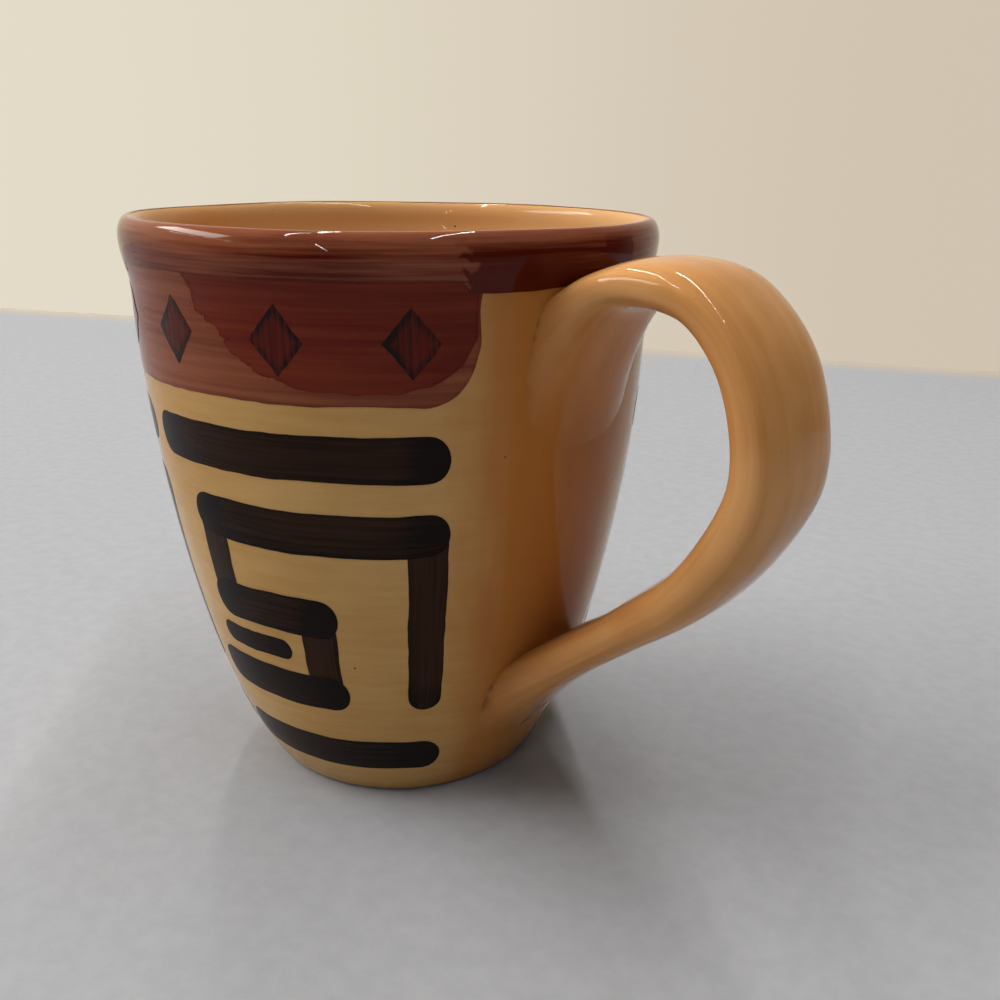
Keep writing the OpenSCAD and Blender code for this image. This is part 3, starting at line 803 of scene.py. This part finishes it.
class MUG_OT_line_rim(bpy.types.Operator):
    """Brush the dark line over the lip"""

    bl_idname = "mug.line_rim"
    bl_label = "Line rim"

    ROWS = 26
    COLUMNS_PER_TURN = 2
    # Lift and thickness, in coats
    LIFT = 2
    THICK = 1.5
    # How far below the line the face of the lip is followed, and the slack of that search
    FOLLOWED = 3 * MM
    SLACK = 1e-9
    # How far the line ends past the crest, how much that end strays, how far the second coat
    # sags, the pooled edge's width, and the finer strays of the low edge, in strays of the brush
    PAST_CREST = 0.4 * MM
    END_SWAY = 0.15 * MM
    SAG = 1.6 * MM
    POOL_WIDTH = 0.8 * MM
    FINE_SWAY = 0.35
    # Slip that pools at the lower edge and under the second coat, and how much lighter the
    # crest is, partly as thin slip and partly as painted reflection of the room overhead
    EDGE_POOL = 0.45
    COAT_POOL = 0.75
    CREST_THIN_AND_SHEEN = 0.55
    # Second coat: its stretches, where the first one starts, the shares of a stretch over which
    # it sets in and ends, how ragged its ends are, and how they lean with the height
    STRETCHES = 3
    COAT_START = math.radians(10)
    SETS_IN = (0.0, 0.007)
    ENDS = (0.325, 0.337)
    RAGGED = 0.03
    LEAN = 0.3

    def execute(self, context):
        scene = context.scene
        cup, paint, colours = scene.mug_cup, scene.mug_paint, scene.mug_colours
        form = CupForm(cup)
        low = paint.rim_low - self.FOLLOWED
        face = [Vector((form.radius(low), low))] + [p for p in form.outer if p.y > low]
        face += form.roll()
        walked = [0.0]
        for a, b in zip(face, face[1:]):
            walked.append(walked[-1] + (b - a).length)
        start = paint.rim_low - low
        crest = walked[max(range(len(face)), key=lambda i: face[i].y)] + self.PAST_CREST

        def at(distance):
            i = max(k for k in range(len(walked) - 1) if walked[k] <= distance + self.SLACK)
            t = (distance - walked[i]) / (walked[i + 1] - walked[i])
            p = face[i].lerp(face[i + 1], min(t, 1.0))
            way = (face[i + 1] - face[i]).normalized()
            return p + Vector((way.y, -way.x)) * paint.coat * self.LIFT

        def place(u, v):
            azimuth = 2 * math.pi * u
            out = Vector((math.cos(azimuth), math.sin(azimuth), 0))
            first = start + paint.sway * wander(out, rate=3.2, seed=11.0)
            first += paint.sway * self.FINE_SWAY * wander(out, rate=14, seed=4.0)
            first -= self.second_coat(azimuth, out) * self.SAG
            patch = self.second_coat(azimuth, out + Vector((0, 0, self.LEAN * v)))
            end = crest + self.END_SWAY * wander(out, rate=3.0, seed=21.0)
            distance = first + (end - first) * v
            p = at(distance)
            # Near the crest the slip is thinner and lighter, partly as painted reflection of the
            # room overhead
            thin = smooth(p.y, form.side, cup.height)
            edge = 1 - smooth(distance - first, 0, self.POOL_WIDTH)
            pool = self.EDGE_POOL * edge + self.COAT_POOL * patch * (1 - thin)
            spot = form.settle(Vector((p.x * out.x, p.x * out.y, p.y)))
            return spot, azimuth * cup.lip_radius, distance, pool - self.CREST_THIN_AND_SHEEN * thin

        sheet = Sheet()
        sheet.lay(cup.turns * self.COLUMNS_PER_TURN, self.ROWS, place)
        finish = slip("rim_slip", colours.rim, colours.rim_thin_and_sheen, cover=0.55, streaks=0.35)
        sheet.lift_off(finish, "rim_slip", "rim_line", paint.coat * self.THICK)
        return {"FINISHED"}

    def second_coat(self, azimuth, spot):
        """How far the second coat covers an azimuth, in stretches with ragged ends."""
        span = 2 * math.pi / self.STRETCHES
        part = ((self.COAT_START - azimuth) % span) / span
        part += self.RAGGED * wander(spot, rate=22, seed=7.0)
        return smooth(part, *self.SETS_IN) * (1 - smooth(part, *self.ENDS))


class MUG_OT_brush_band(bpy.types.Operator):
    """Brush the red-brown band under the rim line, open at the handle"""

    bl_idname = "mug.brush_band"
    bl_label = "Brush band"

    ROWS = 30
    COLUMNS_PER_TURN = 1.7
    # How far the band goes up under the rim line, the pooled edge's width, the heights over the
    # lower edge between which the slip gets fuller, and the finer strays of that edge
    UNDER_RIM = 2.4 * MM
    POOL_WIDTH = 0.9 * MM
    FULLER = (3 * MM, 9 * MM)
    FINE_SWAY = 0.3
    # Slip that pools at the edge, and where the band is fuller
    EDGE_POOL = 0.3
    FULL_POOL = 0.35

    def execute(self, context):
        scene = context.scene
        cup, paint, colours = scene.mug_cup, scene.mug_paint, scene.mug_colours
        form = CupForm(cup)
        turn = 2 * math.pi - paint.near_end - paint.far_end
        top = paint.rim_low + self.UNDER_RIM
        corner = paint.band_corner
        reach = form.radius(paint.band_low)
        fuller = [paint.band_low + height for height in self.FULLER]

        def place(u, v):
            azimuth = -paint.near_end - u * turn
            out = (math.cos(azimuth), math.sin(azimuth), 0)
            from_end = min(u, 1 - u) * turn * reach
            round_off = 0.0
            if from_end < corner:
                round_off = corner - math.sqrt(corner ** 2 - (corner - from_end) ** 2)
            low = paint.band_low + round_off + paint.sway * wander(out, rate=3.0, seed=1.0)
            low += paint.sway * self.FINE_SWAY * wander(out, rate=16.0, seed=6.0)
            z = low + (top - low) * v
            azimuth += paint.sway / reach * wander((0, 0, z / corner), rate=2.0, seed=9.0)
            edge = 1 - smooth(min(z - low, from_end), 0, self.POOL_WIDTH)
            pool = self.EDGE_POOL * edge + self.FULL_POOL * smooth(z, *fuller)
            return form.spot(azimuth, z, paint.coat), azimuth * reach, z, pool

        sheet = Sheet()
        sheet.lay(round(cup.turns * self.COLUMNS_PER_TURN), self.ROWS, place)
        finish = slip("band_slip", colours.band, colours.band_thin, cover=0.3, streaks=0.45,
                      along=22, across=900)
        sheet.lift_off(finish, "band_slip", "side_band", paint.coat)
        return {"FINISHED"}


class MUG_OT_wash_band(bpy.types.Operator):
    """Lay the second, darker coat over the band in patches"""

    bl_idname = "mug.wash_band"
    bl_label = "Wash band"

    COLUMNS = 150
    ROWS = 60
    # Lift and thickness, in coats
    LIFT = 1.8
    THICK = 0.8
    # How far the wash goes up under the rim line and past the band's end, and the share of an
    # even gap that its patches leave between them
    UNDER_RIM = 2.6 * MM
    PAST_END = 0.4 * MM
    GAP_KEPT = 0.66
    # How far the lower edge and the ends stray, how long the teeth at the far end are, and the
    # pooled edge's width
    LOW_SWAY = 0.7 * MM
    END_SWAY = 0.9 * MM
    TEETH = 1.1 * MM
    POOL_WIDTH = 0.7 * MM
    # Shares of a patch over which its low and its end teeth set in, and its start thins out
    LOW_TEETH_FROM = (0.5, 0.9)
    END_TEETH_FROM = (0.6, 1.0)
    START = (0.35, 0.0)
    # Slip that pools at the edge and at the start
    EDGE_POOL = 0.5
    START_POOL = 0.25

    def lower_edge(self, u):
        """Share of the band's height at which a patch ends, at a share of its turn."""
        for a, b in zip(WASH_LOW, WASH_LOW[1:]):
            if a[0] <= u <= b[0]:
                t = (u - a[0]) / (b[0] - a[0])
                return a[1] + (b[1] - a[1]) * t
        return WASH_LOW[-1][1]

    def execute(self, context):
        scene = context.scene
        paint, colours = scene.mug_paint, scene.mug_colours
        form = CupForm(scene.mug_cup)
        band = paint.rim_low - paint.band_low
        turn = 2 * math.pi - paint.near_end - paint.far_end
        patches = paint.wash_patches
        gap = (turn - patches * paint.wash_turn) / (patches - 1) * self.GAP_KEPT
        top = paint.rim_low + self.UNDER_RIM
        reach = form.radius(paint.band_low + band / 2)
        sheet = Sheet()
        for patch in range(patches):
            begin = -paint.near_end - patch * (paint.wash_turn + gap) - self.PAST_END / reach

            def place(u, v, begin=begin, patch=patch):
                along = u * paint.wash_turn * reach
                ragged = wander((along / band, patch, 0), rate=5.0, seed=2.0)
                teeth = wander((along / band, patch, 1), rate=26.0, seed=4.0)
                ragged += teeth * smooth(u, *self.LOW_TEETH_FROM)
                low = paint.band_low + band * self.lower_edge(u) + self.LOW_SWAY * ragged
                z = low + (top - low) * v
                free = 1 if patch else u
                sway = self.END_SWAY * wander((0, patch, z / band), rate=6.0, seed=5.0) * free
                teeth = wander((0, patch, z / band), rate=34.0, seed=3.0)
                sway += self.TEETH * teeth * smooth(u, *self.END_TEETH_FROM)
                azimuth = begin - u * paint.wash_turn - sway / reach
                from_edge = min(z - low, along, paint.wash_turn * reach - along)
                edge = 1 - smooth(from_edge, 0, self.POOL_WIDTH)
                spot = form.spot(azimuth, z, paint.coat * self.LIFT)
                pool = self.EDGE_POOL * edge + self.START_POOL * smooth(u, *self.START)
                return spot, azimuth * reach, z, pool

            sheet.lay(self.COLUMNS, self.ROWS, place)
        finish = slip("wash_slip", colours.wash, colours.wash_thin, cover=0.5, streaks=0.5,
                      along=24, across=800)
        sheet.lift_off(finish, "wash_slip", "band_wash", paint.coat * self.THICK)
        return {"FINISHED"}


class MUG_OT_dot_lozenges(bpy.types.Operator):
    """Brush the lozenges along the band"""

    bl_idname = "mug.dot_lozenges"
    bl_label = "Brush lozenges"

    STEPS = 20
    # Lift and thickness, in coats
    LIFT = 2.6
    THICK = 0.8
    # Height of the middles on the band, as a share, how much a lozenge swells, and how far its
    # sides stray, in strays of the brush
    MIDDLE = 0.52
    SWELL = 0.05
    SIDE_SWAY = 0.6
    # Slip that pools at the sides, and the shares of the way out over which it does
    EDGE_POOL = 0.6
    EDGE = (0.55, 0.95)

    def execute(self, context):
        scene = context.scene
        paint, colours = scene.mug_paint, scene.mug_colours
        form = CupForm(scene.mug_cup)
        turn = 2 * math.pi - paint.near_end - paint.far_end
        step = turn / paint.lozenges
        middle = paint.band_low + self.MIDDLE * (paint.rim_low - paint.band_low)
        wide, high = paint.lozenge_width, paint.lozenge_height
        sway = paint.sway * self.SIDE_SWAY
        sheet = Sheet()
        for i in range(paint.lozenges):
            azimuth = -paint.near_end - step * (i + 0.5)

            def place(u, v, azimuth=azimuth, i=i):
                a, b = 2 * u - 1, 2 * v - 1
                side = (a - b) / 2 * wide / 2
                up = (a + b) / 2 * high / 2
                swell = 1 + self.SWELL * wander((a, b, i), rate=1.5, seed=8.0)
                side += sway * wander((up / high, i, 0), rate=3.0, seed=1.0)
                up += sway * wander((side / wide, i, 0), rate=3.0, seed=6.0)
                z = middle + up * swell
                spot = form.spot(azimuth + side * swell / form.radius(z), z,
                                 paint.coat * self.LIFT)
                pool = self.EDGE_POOL * smooth(max(abs(a), abs(b)), *self.EDGE)
                return spot, up, side + i * wide, pool

            sheet.lay(self.STEPS, self.STEPS, place)
        finish = slip("lozenge_slip", shade(colours.brush, 0.9), colours.wash, cover=0.25,
                      streaks=0.5)
        sheet.lift_off(finish, "lozenge_slip", "band_lozenges", paint.coat * self.THICK)
        return {"FINISHED"}


class Brush:
    """Brush that lays strokes with round, pooled ends on the wall."""

    COLUMNS = 64
    ROWS = 12
    # Lift of each further layer and thickness, in coats
    LAYER = 0.28
    THICK = 0.8
    # Round end: its power, and the part of its squared width that the very tip keeps, so that it
    # stays blunt
    END_POWER = 2.4
    BLUNT = 0.015
    # How far the width strays, as a share, and the edges, in strays of the brush
    WIDTH_SWAY = 0.055
    EDGE_SWAY = 0.25
    # Rises of less than this are level
    LEVEL_WITHIN = 1e-7
    # Slip that pools along the edges, at the end of a stroke and at its start
    EDGE_POOL = 0.28
    END_POOL = 0.75
    START_POOL = 0.45
    # Where the edge sets in, as shares of the half width, and the tip, in widths past the run
    EDGE = (0.72, 0.98)
    TIP = (-0.7, 0.1)

    def __init__(self, paint, form):
        self.paint = paint
        self.form = form
        self.sheet = Sheet()
        self.laid = 0

    def stroke(self, a, b, wide, layer=0, cover=0.0):
        """Lays one stroke between two places, each an azimuth and a height."""
        form, paint = self.form, self.paint
        self.laid += 1
        seed = float(self.laid)
        flat = abs(a[1] - b[1]) < self.LEVEL_WITHIN
        reach = form.radius((a[1] + b[1]) / 2)
        run = abs(b[0] - a[0]) * reach if flat else abs(b[1] - a[1])
        sign = 1 if (b[0] - a[0] if flat else b[1] - a[1]) > 0 else -1
        half = wide / 2
        middle = ((a[0] + b[0]) / 2, (a[1] + b[1]) / 2)
        lift = paint.coat * (1 + self.LAYER * layer)

        def place(u, v):
            along = -(run / 2 + half) * math.cos(math.pi * u)
            across = 2 * v - 1
            beyond = max(abs(along) - run / 2, 0) / half
            width = half * math.sqrt(max(1 - beyond ** self.END_POWER, self.BLUNT))
            width *= 1 + self.WIDTH_SWAY * wander((along / wide, seed, 0), rate=0.9, seed=2.0)
            stray = paint.sway * wander((along / wide, seed, 1), rate=0.55, seed=4.0)
            stray += self.EDGE_SWAY * paint.sway * wander((along / wide, seed, across), rate=2.6,
                                                          seed=6.0)
            side = across * width + stray
            if flat:
                z = middle[1] + side
                azimuth = middle[0] + along * sign / reach
            else:
                z = middle[1] + along * sign
                azimuth = middle[0] + side / reach
            edge = smooth(abs(across), *self.EDGE)
            tip = smooth(abs(along), *(run / 2 + t * wide for t in self.TIP))
            pool = cover + self.EDGE_POOL * edge
            pool += (self.END_POOL if along > 0 else self.START_POOL) * tip
            return form.spot(azimuth, z, lift), along + seed, across * half + 3 * seed * wide, pool

        self.sheet.lay(self.COLUMNS, self.ROWS, place)

    def lift_off(self, finish, node):
        self.sheet.lift_off(brush_slip(finish), "brush_slip", node, self.paint.coat * self.THICK)


class HookGrid:
    """Places of the hooks' strokes, on a grid of six steps from a hook to the next."""

    STEPS = 6
    # Steps at which a hook's risers stand and its tail ends, and where the bars and the dash
    # start and end
    RISERS = (0, 2, 4)
    TAIL = 4.6
    TOP_BAR = (4.8, 0)
    FOOT_BAR = (4.6, 0.1)
    DASH = (4.3, 2.9)

    def __init__(self, paint):
        self.paint = paint
        turn = 2 * math.pi - paint.hooks_near - paint.hooks_far
        self.step = turn / (paint.hooks * self.STEPS - 1)
        self.top_bar = paint.band_low - paint.top_gap - paint.bar / 2
        self.top = self.top_bar - paint.bar - paint.hook_gap
        self.foot_bar = paint.foot_gap + paint.bar / 2
        self.low = self.foot_bar + paint.bar + paint.low_gap
        self.mid = (self.top + self.low) / 2
        self.dash = (self.mid + self.low) / 2
        self.dash_width = (self.mid - self.low - paint.bar) / 2

    def azimuth(self, hook, step):
        return -self.paint.hooks_near - (hook * self.STEPS + step) * self.step

    def level(self, hook, steps, z):
        """Start and end of a level stroke."""
        return [(self.azimuth(hook, step), z) for step in steps]


class MUG_OT_brush_hooks(bpy.types.Operator):
    """Brush the square hooks, each in six strokes"""

    bl_idname = "mug.brush_hooks"
    bl_label = "Brush hooks"

    # How much more or less slip the strokes have: the risers, and the bars from the top down
    RISER_COVER = -0.3
    BAR_COVERS = (0.05, 0.1, 0.1)

    def execute(self, context):
        paint = context.scene.mug_paint
        grid = HookGrid(paint)
        brush = Brush(paint, CupForm(context.scene.mug_cup))
        low, mid, top = grid.low, grid.mid, grid.top
        for hook in range(paint.hooks):
            a, b, c, d = (grid.azimuth(hook, step) for step in (*grid.RISERS, grid.TAIL))
            for x, start, end in ((a, low, top), (c, top, mid), (b, mid, low)):
                brush.stroke((x, start), (x, end), paint.riser, cover=self.RISER_COVER)
            bars = ((a, c, top), (c, b, mid), (b, d, low))
            for i, (start, end, z) in enumerate(bars):
                brush.stroke((start, z), (end, z), paint.bar, i + 1, self.BAR_COVERS[i])
        brush.lift_off("hook_slip", "square_hooks")
        return {"FINISHED"}


class MUG_OT_brush_bars(bpy.types.Operator):
    """Brush the long level bars over and under the hooks"""

    bl_idname = "mug.brush_bars"
    bl_label = "Brush bars"

    def execute(self, context):
        paint = context.scene.mug_paint
        grid = HookGrid(paint)
        brush = Brush(paint, CupForm(context.scene.mug_cup))
        for hook in range(paint.hooks):
            for z, steps in ((grid.top_bar, grid.TOP_BAR), (grid.foot_bar, grid.FOOT_BAR)):
                brush.stroke(*grid.level(hook, steps, z), paint.bar, cover=0.15)
        brush.lift_off("bar_slip", "long_bars")
        return {"FINISHED"}


class MUG_OT_brush_dashes(bpy.types.Operator):
    """Brush the short dashes inside the hooks"""

    bl_idname = "mug.brush_dashes"
    bl_label = "Brush dashes"

    def execute(self, context):
        paint = context.scene.mug_paint
        grid = HookGrid(paint)
        brush = Brush(paint, CupForm(context.scene.mug_cup))
        for hook in range(paint.hooks):
            brush.stroke(*grid.level(hook, grid.DASH, grid.dash), grid.dash_width, cover=0.3)
        brush.lift_off("dash_slip", "short_dashes")
        return {"FINISHED"}


class MUG_OT_set_stage(bpy.types.Operator):
    """Set the floor, the light and the camera"""

    bl_idname = "mug.set_stage"
    bl_label = "Set stage"

    CAMERA_AT = Vector((144.86, -130.43, 118.4)) * MM
    CAMERA_HEADING = math.radians(41.99)
    CAMERA_PITCH = math.radians(19.18)
    CAMERA_ROLL = math.radians(0.71)
    SENSOR_MM = 36.0
    # Floor: half its depth and width, how far off its far edge is, how far it is turned from the
    # camera, over what depth it fades, and the shade of the wall that it fades into
    FLOOR_HALF_DEPTH = 0.75
    FLOOR_HALF_WIDTH = 1.6
    FLOOR_FAR = 0.463
    FLOOR_TURN = math.radians(-16.4)
    FLOOR_FADE = 0.03
    FLOOR_SHADE = 0.8
    # Room: the cosines between which the left wall gives way to the right one, the dim side to
    # the walls and the walls to the ceiling, and how far left of the camera the walls face
    WALL_FADE = (-0.42, 0.42)
    ROOM_FADE = (-0.1, 0.62)
    ROOM_TURN = math.radians(20)
    CEILING_FADE = (0.3, 0.8)
    # Soft lamp: how far right, ahead and up it is, its size, and the height that it aims at
    SOFT_AT = (-2.3, 0.3, 1.6)
    SOFT_SIZE = (2.2, 0.55)
    SOFT_AIM = 50 * MM
    LAMP_COLOUR = (1.0, 0.98, 0.95)
    TUBE_HEIGHT = 1.3
    TUBE_WIDTH = 0.022
    # Rows of tubes: how far left of the mug, how far each row is turned in degrees, and where
    # each tube starts and ends ahead of the mug
    TUBE_ROWS = ((0.33, 0, ((0.38, 1.4),)),
                 (0.467, -23, ((-0.74, 0.13),)),
                 (0.39, -16, ((-2.9, -2.0), (-5.5, -3.0))),
                 (-0.27, 7, ((-0.25, 0.85), (-0.9, -0.29))),
                 (2.65, 0, ((-1.5, -0.5), (-0.35, 0.6))))

    def execute(self, context):
        scene = context.scene
        stage = scene.mug_stage
        self.camera(scene, stage)
        self.floor(scene, stage)
        self.world(scene, stage)
        self.lamps(scene, stage)
        scene.view_settings.view_transform = "Standard"
        return {"FINISHED"}

    def camera(self, scene, stage):
        data = bpy.data.cameras.new("camera")
        data.sensor_width = self.SENSOR_MM
        data.lens = stage.lens / MM
        data.clip_start = 10 * MM
        camera = bpy.data.objects.new("camera", data)
        turn = (Matrix.Rotation(self.CAMERA_HEADING, 4, "Z")
                @ Matrix.Rotation(math.pi / 2 - self.CAMERA_PITCH, 4, "X")
                @ Matrix.Rotation(self.CAMERA_ROLL, 4, "Z"))
        camera.matrix_world = Matrix.Translation(self.CAMERA_AT) @ turn
        scene.collection.objects.link(camera)
        scene.camera = camera

    def ahead(self, turn=0.0):
        """Level direction in which the camera looks, turned further to the left."""
        heading = self.CAMERA_HEADING + turn
        return Vector((-math.sin(heading), math.cos(heading), 0))

    def floor(self, scene, stage):
        """Wide sheet whose far edge fades into the backdrop's colour."""
        bm = bmesh.new()
        bmesh.ops.create_grid(bm, x_segments=8, y_segments=8, size=1.0)
        heading = Matrix.Rotation(self.CAMERA_HEADING + self.FLOOR_TURN, 4, "Z")
        for vert in bm.verts:
            y = (vert.co.y - 1) * self.FLOOR_HALF_DEPTH + self.FLOOR_FAR
            vert.co = heading @ Vector((vert.co.x * self.FLOOR_HALF_WIDTH, y, 0))
        mesh = bpy.data.meshes.new("floor")
        bm.to_mesh(mesh)
        bm.free()
        r = Recipe("floor_cloth")
        weave = r.noise(r.place(), scale=240, rough=0.6)
        tint = r.mix(r.range(weave, 0.3, 0.7), stage.floor, shade(stage.floor, 0.93))
        beyond = r.facing(r.place(), self.ahead(self.FLOOR_TURN))
        edge = r.range(beyond, self.FLOOR_FAR - self.FLOOR_FADE, self.FLOOR_FAR)
        tint = r.mix(edge, tint, shade(stage.wall_right, self.FLOOR_SHADE))
        r.set(r.shader.inputs["Base Color"], tint)
        r.shader.inputs["Roughness"].default_value = 0.95
        r.shader.inputs["Specular IOR Level"].default_value = 0.1
        mesh.materials.append(r.material)
        floor = bpy.data.objects.new("floor", mesh)
        scene.collection.objects.link(floor)

    def world(self, scene, stage):
        """Pale wall on the far side, grey overhead, and a dim room behind the camera."""
        world = bpy.data.worlds.new("studio")
        world.use_nodes = True
        scene.world = world
        g = Graph(world.node_tree)
        way = g.node("ShaderNodeTexCoord").outputs["Generated"]
        right = self.ahead(-math.pi / 2)
        wall = g.mix(g.range(g.facing(way, right), *self.WALL_FADE), stage.wall_left,
                     stage.wall_right)
        far = g.range(g.facing(way, self.ahead(self.ROOM_TURN)), *self.ROOM_FADE)
        up = g.range(g.facing(way, (0, 0, 1)), *self.CEILING_FADE)
        room = g.mix(up, g.mix(far, stage.dim, wall), stage.ceiling)
        g.set(g.tree.nodes["Background"].inputs["Color"], room)

    def lamp(self, scene, name, place, size, watts):
        data = bpy.data.lights.new(name, "AREA")
        data.shape = "RECTANGLE"
        data.size, data.size_y = size
        data.energy = watts
        data.color = self.LAMP_COLOUR
        lamp = bpy.data.objects.new(name, data)
        lamp.matrix_world = place
        scene.collection.objects.link(lamp)

    def lamps(self, scene, stage):
        """A soft lamp on the left and rows of lamp tubes overhead."""
        heading = self.CAMERA_HEADING
        at = Matrix.Rotation(heading, 4, "Z") @ Vector(self.SOFT_AT)
        aim = Vector((0, 0, self.SOFT_AIM)) - at
        self.lamp(scene, "soft_lamp",
                  Matrix.Translation(at) @ aim.to_track_quat("-Z", "Y").to_matrix().to_4x4(),
                  self.SOFT_SIZE, stage.soft)
        for row, (left, skew, tubes) in enumerate(self.TUBE_ROWS):
            turned = Matrix.Rotation(heading + math.radians(skew), 4, "Z")
            for tube, (start, end) in enumerate(tubes):
                at = Matrix.Translation((-left, (start + end) / 2, self.TUBE_HEIGHT))
                self.lamp(scene, f"tube_{row}_{tube}", turned @ at,
                          (self.TUBE_WIDTH, end - start), stage.tube * (end - start))


class MUG_PT_panel(bpy.types.Panel):
    """Sizes and colours of the mug, and the steps that make it"""

    bl_idname = "MUG_PT_panel"
    bl_label = "Mug"
    bl_space_type = "VIEW_3D"
    bl_region_type = "UI"
    bl_category = "Mug"

    def draw(self, context):
        layout = self.layout
        for name in GROUPS:
            box = layout.box()
            group = getattr(context.scene, name)
            for key in group.bl_rna.properties.keys():
                if key not in ("rna_type", "name"):
                    box.prop(group, key)
        for operator in OPERATORS:
            layout.operator(operator.bl_idname)


GROUPS = {"mug_cup": CupSizes, "mug_strap": StrapSizes, "mug_paint": PaintSizes,
          "mug_colours": GlazeColours, "mug_stage": StageSizes}
OPERATORS = (MUG_OT_throw_body, MUG_OT_pull_handle, MUG_OT_line_rim, MUG_OT_brush_band,
             MUG_OT_wash_band, MUG_OT_dot_lozenges, MUG_OT_brush_hooks, MUG_OT_brush_bars,
             MUG_OT_brush_dashes, MUG_OT_set_stage)


def register():
    for cls in (*GROUPS.values(), *OPERATORS, MUG_PT_panel):
        bpy.utils.register_class(cls)
    for name, group in GROUPS.items():
        setattr(bpy.types.Scene, name, PointerProperty(type=group))


def unregister():
    for name in GROUPS:
        delattr(bpy.types.Scene, name)
    for cls in (MUG_PT_panel, *reversed(OPERATORS), *reversed(GROUPS.values())):
        bpy.utils.unregister_class(cls)


def main():
    register()
    bpy.ops.mug.throw_body()
    bpy.ops.mug.pull_handle()
    bpy.ops.mug.line_rim()
    bpy.ops.mug.brush_band()
    bpy.ops.mug.wash_band()
    bpy.ops.mug.dot_lozenges()
    bpy.ops.mug.brush_hooks()
    bpy.ops.mug.brush_bars()
    bpy.ops.mug.brush_dashes()
    bpy.ops.mug.set_stage()


if __name__ == "__main__":
    main()
